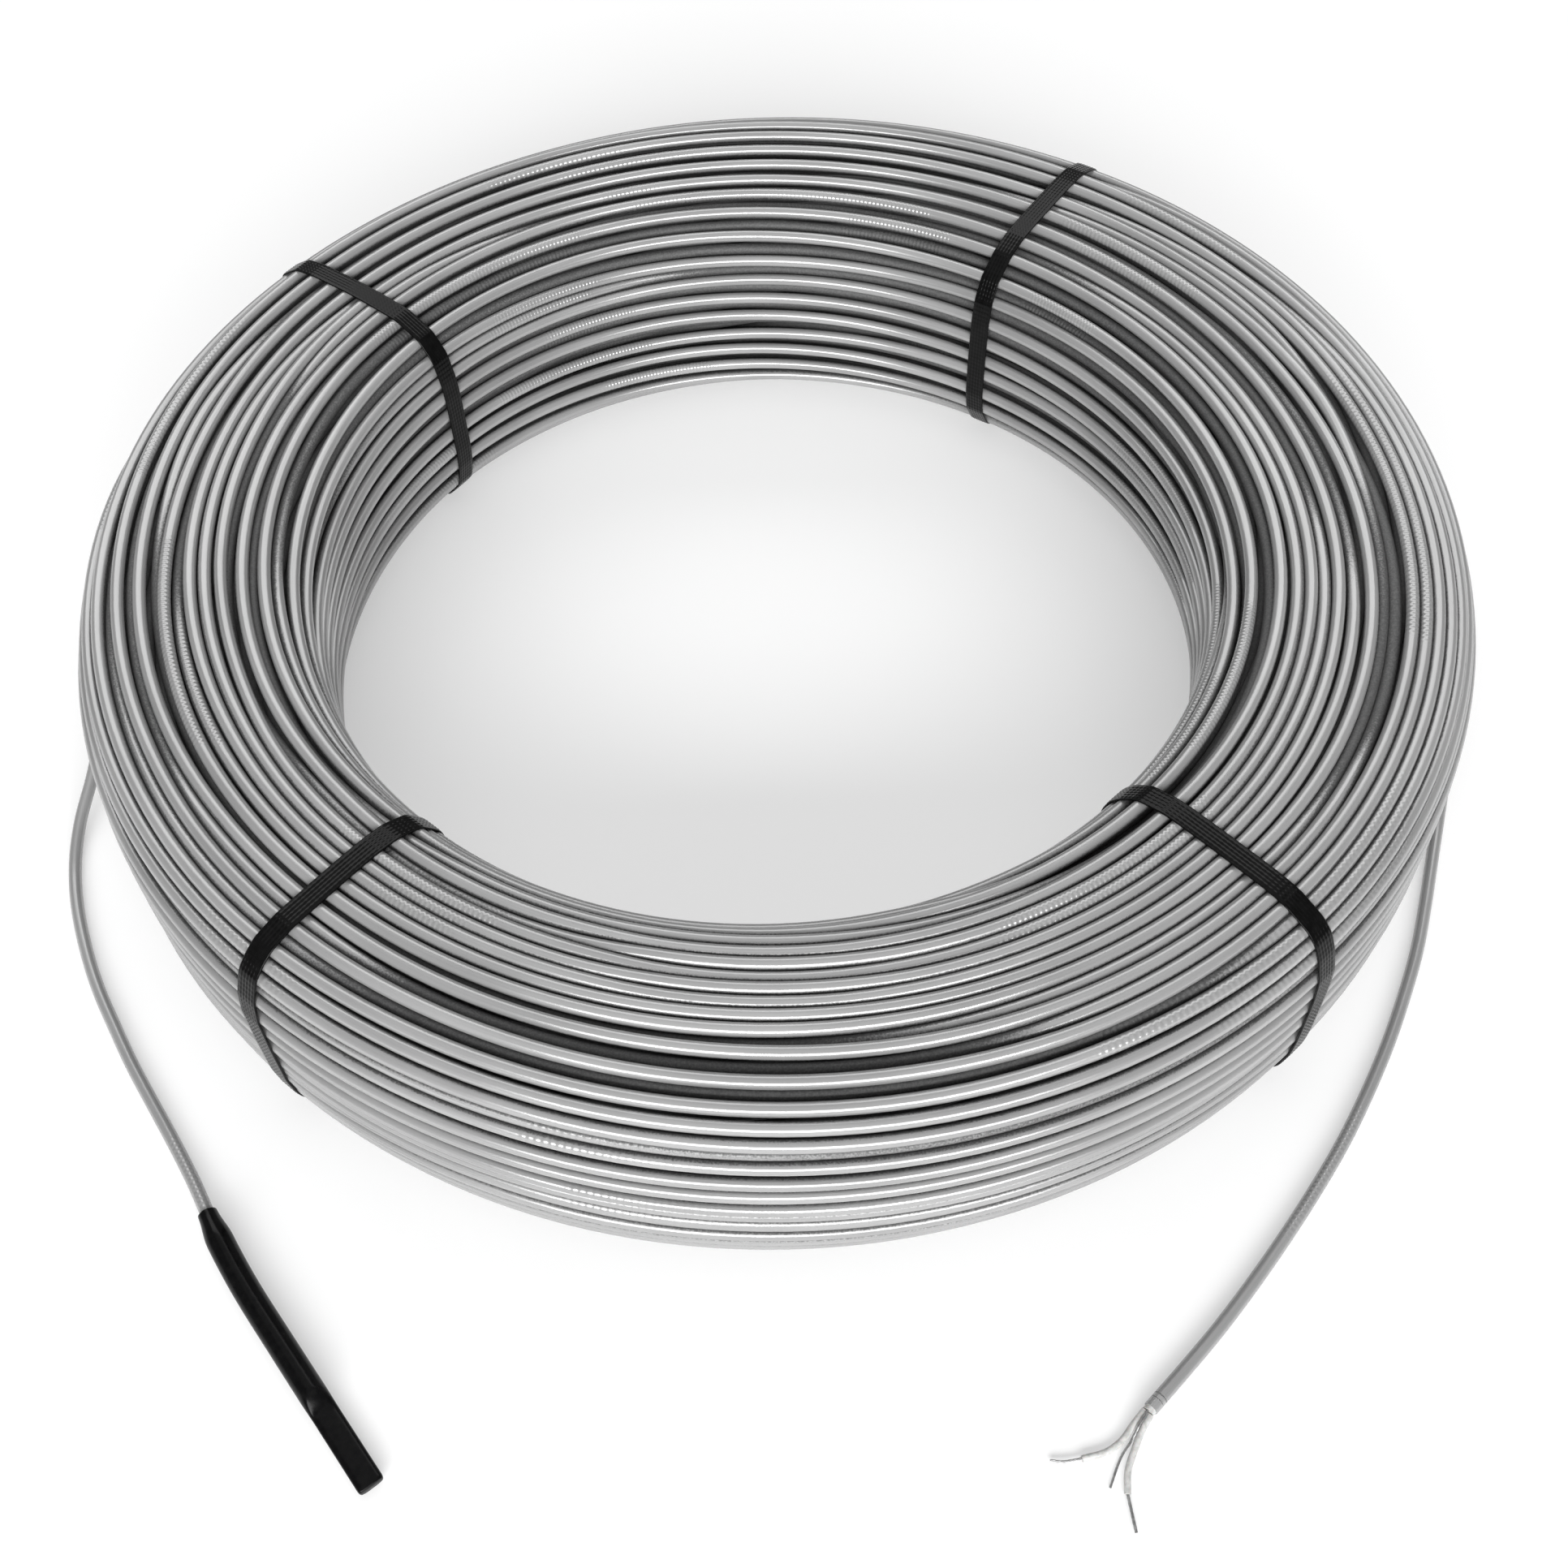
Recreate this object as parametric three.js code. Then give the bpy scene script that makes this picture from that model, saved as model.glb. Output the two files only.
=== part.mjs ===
// Heating cable: a round hank of grey cable that four flat straps hold together.
// One end of the cable leaves the coil on the left and is closed by a shrunk black sleeve with a flat tip.
// The other end leaves on the right and is stripped to two insulated cores and a bare drain wire.
// Millimetres, +Z up, the coil's axis on Z and the surface it lies on at Z = 0.

import * as THREE from "three";

// Cable and winding
const cableDiameter = 5;
const windingRadius = 225;
const windingWidth = 98.8;
const windingHeight = 102.4;
const windingCornerRadius = 26;
const turnPitch = 5.4;
const turnGrooveDepth = cableDiameter / 2;
const windingSegments = 48;

// Straps
const strapWidth = 8.6;
const strapThickness = 0.7;
const strapAngles = { back_right: 55.3, back_left: 141.5, front_left: 228.6, front_right: 312.2 };
const strapCornerSteps = 5;

// Clearances
const seatClearance = 0.3;
const endClearance = 0.3;
const floorClearance = 0.2;

// End sleeve
const sleeveLength = 118;
const sleeveDiameter = 9.5;
const sleeveMouthDiameter = 6.9;
const sleeveMouthLength = 13;
const sleeveMouthHeight = 4.4;
const sleeveFlatStart = 80;
const sleeveFlatRamp = 9;
const sleeveTipWidth = 9.2;
const sleeveTipThickness = 4.2;
const sleeveTipHeight = 3.3;
const sleeveEdgeRadius = 0.8;
const sleeveBendDegrees = 7.5;
const sleeveBendLength = 45;

// Stripped end
const sheathDiameter = 4.2;
const sheathLength = 1.2;
const coreDiameter = 2.3;
const conductorDiameter = 1.1;
const drainWireDiameter = 0.9;

// Fineness of the round shapes
const cableSides = 10;
const coreSides = 8;
const sleeveSides = 16;
const cableStep = 2.5 * cableDiameter;
const coreStep = 3;

// Routes of the two leads, from the coil outwards.
// Each point is an angle about the coil's axis in degrees, a distance from the winding's outer wall to
// the cable's middle, and a height of the cable above the surface.
const sleevedLeadRoute = [
  [174, 2.8, 26],
  [180, 2.8, 24.6],
  [185.6, 5.4, 18],
  [190.1, 11.4, 9],
  [193.8, 18.7, 2.6],
  [197.2, 22.7, 0.2],
  [201.3, 25, 0],
  [205.9, 26.4, 0],
  [209.5, 27.3, 0],
  [212.9, 27.9, 0],
  [216.6, 29.4, 0],
  [220.3, 31.3, 0],
  [222.7, 33.1, 0],
  [224.9, 35.4, 0.2],
  [227.3, 38.7, 0.9],
  [229.7, 43.2, 1.7],
];
const strippedLeadRoute = [
  [6, 2.8, 26],
  [360, 2.8, 24.6],
  [354.4, 4.6, 17.5],
  [349.4, 6.9, 7.5],
  [345.2, 7.6, 1.6],
  [341.6, 7.1, 0],
  [337.7, 7.3, 0],
  [332.5, 9.6, 0],
  [328.7, 12.3, 0],
  [324.8, 15.1, 0],
  [319.2, 20.2, 0],
  [312.1, 28.2, 0],
  [306.9, 35, 0],
  [301.4, 43.8, 0],
  [296.5, 53.3, 0],
  [293.2, 60.3, 0],
  [290.2, 67.5, 0],
];

// Routes of the cores and the wire past the cut end of the jacket.
// Each point is a distance along the cable's end, a distance to its left and a height above the surface.
const coreRoutes = {
  core_left: [
    [0, 1.2, 2.7],
    [5, 2.1, 2.3],
    [10.8, 4, 1.6],
    [18.7, 7.1, 1.35],
    [24.7, 11.7, 1.35],
  ],
  core_right: [
    [0, -1.2, 2.7],
    [6, -0.9, 2.2],
    [12.6, -0.4, 1.6],
    [18.8, -1.6, 1.35],
    [26.3, -5.9, 1.35],
  ],
};
const conductorRoutes = {
  conductor_left: [
    [27.4, 15.2, 1.35],
    [32, 21.1, 1.3],
  ],
  conductor_right: [
    [31, -9.4, 1.35],
    [34, -12.9, 1.2],
  ],
};
const drainWireRoute = [
  [0, 0, 4.1],
  [5, 0.6, 3.7],
  [8, 1.3, 2.5],
  [10.8, 1.9, 1.3],
  [16.6, 2.7, 0.7],
  [26.8, 6.3, 0.65],
];

// Colours and finishes
const jacketLook = { color: 0x9a9c9e, roughness: 0.32, metalness: 0 };
const strapLook = { color: 0x111112, roughness: 0.45, metalness: 0 };
const sleeveLook = { color: 0x0a0a0b, roughness: 0.38, metalness: 0 };
const insulationLook = { color: 0xe9e9e6, roughness: 0.45, metalness: 0 };
const wireLook = { color: 0xb9bbbc, roughness: 0.35, metalness: 1 };

const radians = THREE.MathUtils.degToRad;
const windingBottom = strapThickness + seatClearance;
const windingOuterRadius = windingRadius + windingWidth / 2;
const windingBoreRadius = windingRadius - windingWidth / 2;

// A rectangle with round corners, centred on the origin, as lines and arcs.
function roundedRectangle(width, height, cornerRadius) {
  const x = width / 2;
  const y = height / 2;
  const outline = new THREE.Path();
  outline.moveTo(x - cornerRadius, -y);
  outline.absarc(x - cornerRadius, -y + cornerRadius, cornerRadius, -Math.PI / 2, 0, false);
  outline.absarc(x - cornerRadius, y - cornerRadius, cornerRadius, 0, Math.PI / 2, false);
  outline.absarc(-x + cornerRadius, y - cornerRadius, cornerRadius, Math.PI / 2, Math.PI, false);
  outline.absarc(-x + cornerRadius, -y + cornerRadius, cornerRadius, Math.PI, 1.5 * Math.PI, false);
  outline.closePath();
  return outline;
}

// The winding's section: a crest for each turn of cable that shows, with a groove to the next one.
function windingProfile() {
  const outline = roundedRectangle(windingWidth, windingHeight, windingCornerRadius);
  const turns = Math.round(outline.getLength() / turnPitch);
  const points = [];
  for (let turn = 0; turn < turns; turn++) {
    const crest = outline.getPointAt(turn / turns);
    const middle = outline.getPointAt((turn + 0.5) / turns);
    const along = outline.getTangentAt((turn + 0.5) / turns);
    const inwards = new THREE.Vector2(-along.y, along.x);
    points.push(crest, middle.clone().addScaledVector(inwards, turnGrooveDepth));
  }
  points.push(points[0].clone());
  const middleHeight = windingBottom + windingHeight / 2;
  return points.map((point) => new THREE.Vector2(point.x + windingRadius, point.y + middleHeight));
}

function windingGeometry() {
  const geometry = new THREE.LatheGeometry(windingProfile(), windingSegments);
  geometry.rotateX(Math.PI / 2);
  return geometry;
}

// One closed band round the winding's section, with its width centred on the XZ plane.
// The winding is a polygon seen from above, so its bore wall comes nearest to the axis between two corners.
function strapGeometry() {
  const nearestBoreWall = windingBoreRadius * Math.cos(Math.PI / windingSegments);
  const innerLeft = nearestBoreWall - seatClearance;
  const innerRight = windingOuterRadius + seatClearance;
  const innerWidth = innerRight - innerLeft;
  const innerHeight = windingHeight + 2 * seatClearance;
  const innerCorner = windingCornerRadius + seatClearance;
  const outer = roundedRectangle(
    innerWidth + 2 * strapThickness,
    innerHeight + 2 * strapThickness,
    innerCorner + strapThickness,
  );
  const inner = roundedRectangle(innerWidth, innerHeight, innerCorner);
  const section = new THREE.Shape(outer.getPoints(strapCornerSteps));
  section.holes.push(new THREE.Path(inner.getPoints(strapCornerSteps)));
  const geometry = new THREE.ExtrudeGeometry(section, { depth: strapWidth, bevelEnabled: false });
  geometry.translate((innerLeft + innerRight) / 2, strapThickness + innerHeight / 2, -strapWidth / 2);
  geometry.rotateX(Math.PI / 2);
  return geometry;
}

// A regular polygon that a round section is drawn as, turned so that one flat side faces down.
function roundSection(diameter, sides) {
  const points = [];
  for (let side = 0; side < sides; side++) {
    const angle = ((side + 0.5) / sides) * 2 * Math.PI;
    points.push(new THREE.Vector2((Math.cos(angle) * diameter) / 2, (Math.sin(angle) * diameter) / 2));
  }
  return new THREE.Shape(points);
}

// A solid round rod along a curve.
function rodGeometry(curve, diameter, sides, step) {
  const steps = Math.max(2, Math.round(curve.getLength() / step));
  return new THREE.ExtrudeGeometry(roundSection(diameter, sides), {
    steps,
    extrudePath: curve,
    bevelEnabled: false,
  });
}

// The curve through a lead's route.
function leadCurve(route) {
  const points = route.map(([degrees, fromWall, height]) => {
    const radius = windingOuterRadius + fromWall;
    const angle = radians(degrees);
    const z = cableDiameter / 2 + floorClearance + height;
    return new THREE.Vector3(radius * Math.cos(angle), radius * Math.sin(angle), z);
  });
  return new THREE.CatmullRomCurve3(points, false, "centripetal");
}

// The level frame at the far end of a lead: its end point, the way onwards and the way to its left.
function leadEnd(curve) {
  const onwards = curve.getTangentAt(1).setZ(0).normalize();
  const left = new THREE.Vector3(-onwards.y, onwards.x, 0);
  return { point: curve.getPointAt(1), onwards, left };
}

// A point given along and to the left of a lead's end, at a height above the surface.
function beyondEnd(end, along, toLeft, height) {
  const point = end.point.clone().addScaledVector(end.onwards, along).addScaledVector(end.left, toLeft);
  return point.setZ(height);
}

// The sleeve's section at a distance from its mouth: half width, half height and height of its middle.
function sleeveSection(distance) {
  const opened = THREE.MathUtils.smoothstep(distance, 0, sleeveMouthLength);
  const flat = THREE.MathUtils.smoothstep(distance, sleeveFlatStart, sleeveFlatStart + sleeveFlatRamp);
  const round = THREE.MathUtils.lerp(sleeveMouthDiameter, sleeveDiameter, opened) / 2;
  const roundHeight = THREE.MathUtils.lerp(sleeveMouthHeight, floorClearance + sleeveDiameter / 2, opened);
  return {
    halfWidth: THREE.MathUtils.lerp(round, sleeveTipWidth / 2, flat),
    halfHeight: THREE.MathUtils.lerp(round, sleeveTipThickness / 2, flat),
    middle: THREE.MathUtils.lerp(roundHeight, sleeveTipHeight, flat),
  };
}

// The point and direction of the sleeve's middle line: a slight arc to the left, then straight.
function sleeveLine(distance) {
  const bend = radians(sleeveBendDegrees);
  const bendRadius = sleeveBendLength / bend;
  const turned = (Math.min(distance, sleeveBendLength) / sleeveBendLength) * bend;
  const straight = Math.max(0, distance - sleeveBendLength);
  return {
    along: bendRadius * Math.sin(turned) + straight * Math.cos(turned),
    toLeft: bendRadius * (1 - Math.cos(turned)) + straight * Math.sin(turned),
    turned,
  };
}

// The shrunk sleeve: a turned body with rounded ends, whose sections are flattened and laid along its line.
function sleeveGeometry(end) {
  const stations = [
    ...spread(0, sleeveMouthLength, 4),
    ...spread(sleeveMouthLength, sleeveFlatStart, 6).slice(1),
    ...spread(sleeveFlatStart, sleeveFlatStart + sleeveFlatRamp, 4).slice(1),
    sleeveLength - sleeveEdgeRadius,
  ];
  const profile = [new THREE.Vector2(0, 0)];
  stations.forEach((station) => profile.push(new THREE.Vector2(1, station)));
  profile.push(new THREE.Vector2(1 - (2 * sleeveEdgeRadius) / sleeveTipWidth, sleeveLength));
  profile.push(new THREE.Vector2(0, sleeveLength));
  const geometry = new THREE.LatheGeometry(profile, sleeveSides);
  const position = geometry.getAttribute("position");
  for (let i = 0; i < position.count; i++) {
    const distance = position.getY(i);
    const section = sleeveSection(distance);
    const line = sleeveLine(distance + endClearance);
    const sideways = -position.getX(i) * section.halfWidth;
    const along = line.along - sideways * Math.sin(line.turned);
    const toLeft = line.toLeft + sideways * Math.cos(line.turned);
    const height = section.middle + position.getZ(i) * section.halfHeight;
    const point = beyondEnd(end, along, toLeft, height);
    position.setXYZ(i, point.x, point.y, point.z);
  }
  return geometry;
}

// Evenly spaced values from one to the other, both included.
function spread(from, to, gaps) {
  return Array.from({ length: gaps + 1 }, (_, i) => from + ((to - from) * i) / gaps);
}

// The curve through points beyond a lead's end, starting a given distance on.
function curveBeyond(end, route, start) {
  const points = route.map(([along, toLeft, height]) => beyondEnd(end, start + along, toLeft, height));
  return new THREE.CatmullRomCurve3(points, false, "centripetal");
}

const cable = new THREE.Group();

function addPiece(name, geometry, look) {
  const piece = new THREE.Mesh(geometry, new THREE.MeshStandardMaterial(look));
  piece.name = name;
  cable.add(piece);
  return piece;
}

addPiece("cable_coil", windingGeometry(), jacketLook);

for (const [place, degrees] of Object.entries(strapAngles)) {
  const strap = addPiece("strap_" + place, strapGeometry(), strapLook);
  strap.rotation.z = radians(degrees);
}

const sleevedLead = leadCurve(sleevedLeadRoute);
addPiece("sleeved_lead", rodGeometry(sleevedLead, cableDiameter, cableSides, cableStep), jacketLook);
addPiece("end_sleeve", sleeveGeometry(leadEnd(sleevedLead)), sleeveLook);

const strippedLead = leadCurve(strippedLeadRoute);
const strippedEnd = leadEnd(strippedLead);
addPiece("stripped_lead", rodGeometry(strippedLead, cableDiameter, cableSides, cableStep), jacketLook);

const sheathHeight = strippedEnd.point.z;
const sheathLine = new THREE.LineCurve3(
  beyondEnd(strippedEnd, endClearance, 0, sheathHeight),
  beyondEnd(strippedEnd, endClearance + sheathLength, 0, sheathHeight),
);
addPiece("inner_sheath", rodGeometry(sheathLine, sheathDiameter, cableSides, sheathLength), insulationLook);

const coresStart = sheathLength + 2 * endClearance;
for (const [name, route] of Object.entries(coreRoutes)) {
  const core = curveBeyond(strippedEnd, route, coresStart);
  addPiece(name, rodGeometry(core, coreDiameter, coreSides, coreStep), insulationLook);
  const tipName = name.replace("core", "conductor");
  const tipStart = core.getPointAt(1).addScaledVector(core.getTangentAt(1), endClearance);
  const tipPoints = conductorRoutes[tipName].map(([along, toLeft, height]) =>
    beyondEnd(strippedEnd, coresStart + along, toLeft, height),
  );
  const tip = new THREE.CatmullRomCurve3([tipStart, ...tipPoints], false, "centripetal");
  addPiece(tipName, rodGeometry(tip, conductorDiameter, coreSides, coreStep), wireLook);
}
const drainWire = curveBeyond(strippedEnd, drainWireRoute, coresStart);
addPiece("drain_wire", rodGeometry(drainWire, drainWireDiameter, coreSides, coreStep), wireLook);

export default cable;
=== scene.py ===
"""Heating cable: a round coil of grey cable that four embossed straps hold together.

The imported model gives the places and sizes. This script lays every turn of cable that shows on the
winding, dresses the straps, the shrunk end sleeve and the stripped end, and lights them in a pale studio.
Lengths are in metres, +Z is up and the coil's axis is Z.
"""

from __future__ import annotations

import logging
import math
from dataclasses import dataclass
from enum import Enum

import bmesh
import bpy
import numpy as np
from mathutils import Matrix, Vector


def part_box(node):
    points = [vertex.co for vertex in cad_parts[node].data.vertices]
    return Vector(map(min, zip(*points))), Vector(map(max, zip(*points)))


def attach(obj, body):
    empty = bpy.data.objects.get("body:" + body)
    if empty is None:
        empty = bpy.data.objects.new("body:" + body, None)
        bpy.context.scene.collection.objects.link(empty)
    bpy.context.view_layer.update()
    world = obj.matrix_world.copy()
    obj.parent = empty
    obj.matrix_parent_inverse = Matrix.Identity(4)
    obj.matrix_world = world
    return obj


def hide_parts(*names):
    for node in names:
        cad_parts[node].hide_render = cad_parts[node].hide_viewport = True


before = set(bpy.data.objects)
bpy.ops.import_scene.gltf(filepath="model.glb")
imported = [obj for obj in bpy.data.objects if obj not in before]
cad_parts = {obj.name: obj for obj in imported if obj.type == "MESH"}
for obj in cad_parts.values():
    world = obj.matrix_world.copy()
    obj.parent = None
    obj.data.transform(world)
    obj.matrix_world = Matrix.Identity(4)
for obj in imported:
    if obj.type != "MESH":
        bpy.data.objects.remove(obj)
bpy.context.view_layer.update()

LOG = logging.getLogger("heating_cable")
Array = np.ndarray
Material = bpy.types.Material
Mesh = bpy.types.Mesh
Piece = bpy.types.Object
Socket = bpy.types.NodeSocket
Triple = tuple[float, float, float]
Route = tuple[Triple, ...]
MILLIMETRE = 0.001
BODY = "root"
CURVE_STEPS = 24
WELD = 1e-6


class Slot(Enum):
    """The record's material slots."""

    JACKET = "jacket"
    STRAP = "strap"
    SLEEVE = "sleeve"
    INSULATION = "insulation"
    WIRE = "wire"


# Shading


class Shader:
    """A small helper that builds one node material."""

    def __init__(self, name: str) -> None:
        """Starts a material with a Principled surface.

        Args:
            name: The material's name.
        """
        self.material = bpy.data.materials.new(name)
        self.material.use_nodes = True
        self.tree = self.material.node_tree
        self.surface = self.tree.nodes["Principled BSDF"]

    def node(self, kind: str, **settings: object) -> bpy.types.Node:
        """Adds a node and sets its properties.

        Args:
            kind: The node's type name.
            settings: Properties of the node by name.

        Returns:
            The new node.
        """
        made = self.tree.nodes.new(kind)
        for key, value in settings.items():
            setattr(made, key, value)
        return made

    def link(self, source: Socket, target: Socket) -> None:
        """Joins two sockets."""
        self.tree.links.new(source, target)

    def feed(self, target: Socket, value: object) -> None:
        """Gives a socket a value, or joins it to another socket.

        Args:
            target: The socket.
            value: Its value, or the socket that gives it.
        """
        if isinstance(value, Socket):
            self.link(value, target)
        else:
            target.default_value = value

    def attribute(self, name: str) -> Socket:
        """Reads a number that each vertex of the piece carries."""
        return self.node("ShaderNodeAttribute", attribute_name=name).outputs["Fac"]

    def object_coordinates(self) -> Socket:
        """Reads the place in the piece's own frame."""
        return self.node("ShaderNodeTexCoord").outputs["Object"]

    def math(self, operation: str, *values: object) -> Socket:
        """Combines up to three numbers or sockets.

        Args:
            operation: A Math node's operation.
            values: Numbers or sockets, in the node's order.

        Returns:
            The result's socket.
        """
        made = self.node("ShaderNodeMath", operation=operation)
        for socket, value in zip(made.inputs, values):
            self.feed(socket, value)
        return made.outputs[0]

    def noise(self, vector: Socket, scale: float, detail: float = 2.0, dimensions: str = "3D") -> Socket:
        """Reads smooth noise.

        Args:
            vector: Where it is read; a single number for dimensions "1D".
            scale: Waves in a unit of length.
            detail: Octaves.
            dimensions: The noise's dimensions.

        Returns:
            The noise value's socket.
        """
        made = self.node("ShaderNodeTexNoise", noise_dimensions=dimensions)
        made.inputs["Scale"].default_value = scale
        made.inputs["Detail"].default_value = detail
        self.link(vector, made.inputs["W" if dimensions == "1D" else "Vector"])
        return made.outputs["Fac"]

    def ramp(self, factor: Socket, stops: list[tuple[float, tuple[float, ...]]],
             interpolation: str = "LINEAR") -> Socket:
        """Turns a number into a colour.

        Args:
            factor: The number, from 0 to 1.
            stops: The two ends' places and colours, in order.
            interpolation: How the colours blend.

        Returns:
            The colour's socket.
        """
        made = self.node("ShaderNodeValToRGB")
        made.color_ramp.interpolation = interpolation
        elements = made.color_ramp.elements
        for element, (place, colour) in zip(elements, stops):
            element.position = place
            element.color = (*colour, 1.0)
        self.link(factor, made.inputs["Fac"])
        return made.outputs["Color"]

    def mix(self, factor: Socket, first: object, second: object) -> Socket:
        """Blends two colours.

        Args:
            factor: The share of the second.
            first: A colour or a socket.
            second: A colour or a socket.

        Returns:
            The colour's socket.
        """
        made = self.node("ShaderNodeMix", data_type="RGBA")
        made.clamp_factor = True
        self.link(factor, made.inputs["Factor"])
        for name, value in (("A", first), ("B", second)):
            socket = next(each for each in made.inputs if each.name == name and each.type == "RGBA")
            self.feed(socket, value if isinstance(value, Socket) else (*value, 1.0))
        return next(each for each in made.outputs if each.type == "RGBA")

    def bump(self, height: Socket, distance: float, strength: float = 1.0,
             after: Socket | None = None) -> Socket:
        """Bends the normal by a height.

        Args:
            height: The height, from 0 to 1.
            distance: The real height of 1, in metres.
            strength: The share of the effect.
            after: A bump's normal that this one adds to.

        Returns:
            The normal's socket.
        """
        made = self.node("ShaderNodeBump")
        made.inputs["Distance"].default_value = distance
        made.inputs["Strength"].default_value = strength
        self.link(height, made.inputs["Height"])
        if after is not None:
            self.link(after, made.inputs["Normal"])
        return made.outputs["Normal"]

    def set(self, **values: object) -> None:
        """Gives the surface's own sockets values or other sockets, such as roughness=0.4.

        Args:
            values: Values or sockets by the sockets' names, in lower case.
        """
        names = {name.lower().replace(" ", "_"): name for name in self.surface.inputs.keys()}
        for key, value in values.items():
            self.feed(self.surface.inputs[names[key]], value)


@dataclass(frozen=True)
class JacketFinish:
    """Glossy grey cable jacket with painted shade in the grooves between turns and on sunk turns, slight tone
    changes and broken highlights.
    """

    name: str
    light: float
    dark: float
    # groove is the near-black of the painted shade; the speckle scale and edge spread break up its edge, and
    # the roughness rises where it lies.
    groove: float = 0.012
    roughness: float = 0.24
    speckle_scale: float = 1500.0
    shade_edge_spread: float = 0.6
    groove_roughness: float = 0.5
    tone_scale: float = 9.0
    ripple_pitch: float = 0.0021
    ripple_height: float = 0.0001
    ripple_patches: float = 5.0
    grain_scale: float = 900.0
    grain_height: float = 0.00002

    def build(self) -> Material:
        """Makes the material.

        Returns:
            The material.
        """
        shader = Shader(self.name)
        place = shader.object_coordinates()
        along = shader.attribute("along")
        speckle = shader.noise(place, self.speckle_scale, 2.0)
        slow = shader.noise(along, self.tone_scale, 3.0, "1D")
        tone = shader.math("MULTIPLY_ADD", slow, 1.6, -0.3)
        body = shader.mix(tone, self._grey(self.dark), self._grey(self.light))
        # Painted shade: where the openness attribute is low, in grooves between turns and on turns sunk under
        # the outline, the base colour turns to speckled near-black.
        shade_edge_jitter = shader.math("MULTIPLY_ADD", speckle, self.shade_edge_spread, -self.shade_edge_spread / 2)
        bare = shader.math("ADD", shader.attribute("openness"), shade_edge_jitter)
        unshaded_share = shader.ramp(bare, [(0.1, self._grey(0)), (0.7, self._grey(1))], "EASE")
        painted_shade_tones = [(0.4, self._grey(0.5 * self.groove)), (0.66, self._grey(4 * self.groove))]
        shader.set(base_color=shader.mix(unshaded_share, shader.ramp(speckle, painted_shade_tones), body))
        wave = shader.math("SINE", shader.math("MULTIPLY", along, 2.0 * math.pi / self.ripple_pitch))
        patchy = shader.noise(along, self.ripple_patches, 1.0, "1D")
        patches = shader.ramp(patchy, [(0.62, self._grey(0)), (0.64, self._grey(1))])
        ripple = shader.math("MULTIPLY", shader.math("MULTIPLY_ADD", wave, 0.5, 0.5), patches)
        normal = shader.bump(ripple, self.ripple_height)
        grain = shader.noise(place, self.grain_scale, 2.0)
        shader.set(normal=shader.bump(grain, self.grain_height, 0.5, normal))
        painted_shade_share = shader.math("SUBTRACT", 1.0, unshaded_share)
        shader.set(roughness=shader.math("MULTIPLY_ADD", painted_shade_share, self.groove_roughness, self.roughness))
        shader.set(specular_ior_level=1.0, ior=1.7)
        return shader.material

    @staticmethod
    def _grey(value: float) -> Triple:
        """A neutral grey."""
        return (value, value, value)


@dataclass(frozen=True)
class BlackFinish:
    """Satin black plastic: the embossed straps and the shrunk sleeve."""

    name: str
    wear_scale: float
    grain_scale: float
    grain_detail: float
    grain_strength: float
    roughness: float
    colour: Triple
    worn_colour: Triple = (0.005, 0.005, 0.005)
    grain_height: float = 0.00002

    def build(self) -> Material:
        """Makes the material.

        Returns:
            The material.
        """
        shader = Shader(self.name)
        place = shader.object_coordinates()
        wear = shader.noise(place, self.wear_scale, 3.0)
        shader.set(base_color=shader.ramp(wear, [(0.3, self.colour), (0.8, self.worn_colour)]))
        grain = shader.noise(place, self.grain_scale, self.grain_detail)
        shader.set(normal=shader.bump(grain, self.grain_height, self.grain_strength))
        shader.set(roughness=shader.math("MULTIPLY_ADD", wear, 0.1, self.roughness))
        shader.set(specular_ior_level=0.5, ior=1.22)
        return shader.material


@dataclass(frozen=True)
class InsulationFinish:
    """White core insulation with a soft sheen."""

    name: str = "white_insulation"
    shade: Triple = (0.42, 0.42, 0.41)
    colour: Triple = (0.56, 0.56, 0.55)

    def build(self) -> Material:
        """Makes the material.

        Returns:
            The material.
        """
        shader = Shader(self.name)
        marks = shader.noise(shader.object_coordinates(), 600.0, 3.0)
        shader.set(base_color=shader.ramp(marks, [(0.35, self.shade), (0.6, self.colour)]))
        shader.set(normal=shader.bump(marks, 0.00003, 0.5))
        shader.set(roughness=0.36, specular_ior_level=0.5, subsurface_weight=0.1, subsurface_scale=0.001)
        return shader.material


@dataclass(frozen=True)
class WireFinish:
    """Tinned copper strands."""

    name: str = "tinned_wire"
    tarnished: Triple = (0.32, 0.32, 0.32)
    colour: Triple = (0.55, 0.55, 0.55)

    def build(self) -> Material:
        """Makes the material.

        Returns:
            The material.
        """
        shader = Shader(self.name)
        tarnish = shader.noise(shader.object_coordinates(), 900.0, 3.0)
        shader.set(base_color=shader.ramp(tarnish, [(0.3, self.tarnished), (0.7, self.colour)]))
        shader.set(roughness=shader.math("MULTIPLY_ADD", tarnish, 0.3, 0.22))
        shader.set(metallic=1.0)
        return shader.material


@dataclass(frozen=True)
class FloorFinish:
    """Plain pale studio floor."""

    name: str = "studio_floor"
    colour: Triple = (0.6, 0.6, 0.6)
    glow: float = 0.36

    def build(self) -> Material:
        """Makes the material.

        Returns:
            The material.
        """
        shader = Shader(self.name)
        faint = shader.noise(shader.object_coordinates(), 3.0, 2.0)
        low = tuple(0.995 * part for part in self.colour)
        shader.set(base_color=shader.ramp(faint, [(0.3, low), (0.7, self.colour)]))
        shader.set(roughness=0.9, specular_ior_level=0.1)
        shader.set(emission_color=(1, 1, 1, 1), emission_strength=self.glow)
        return shader.material


# Shared shapes


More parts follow.
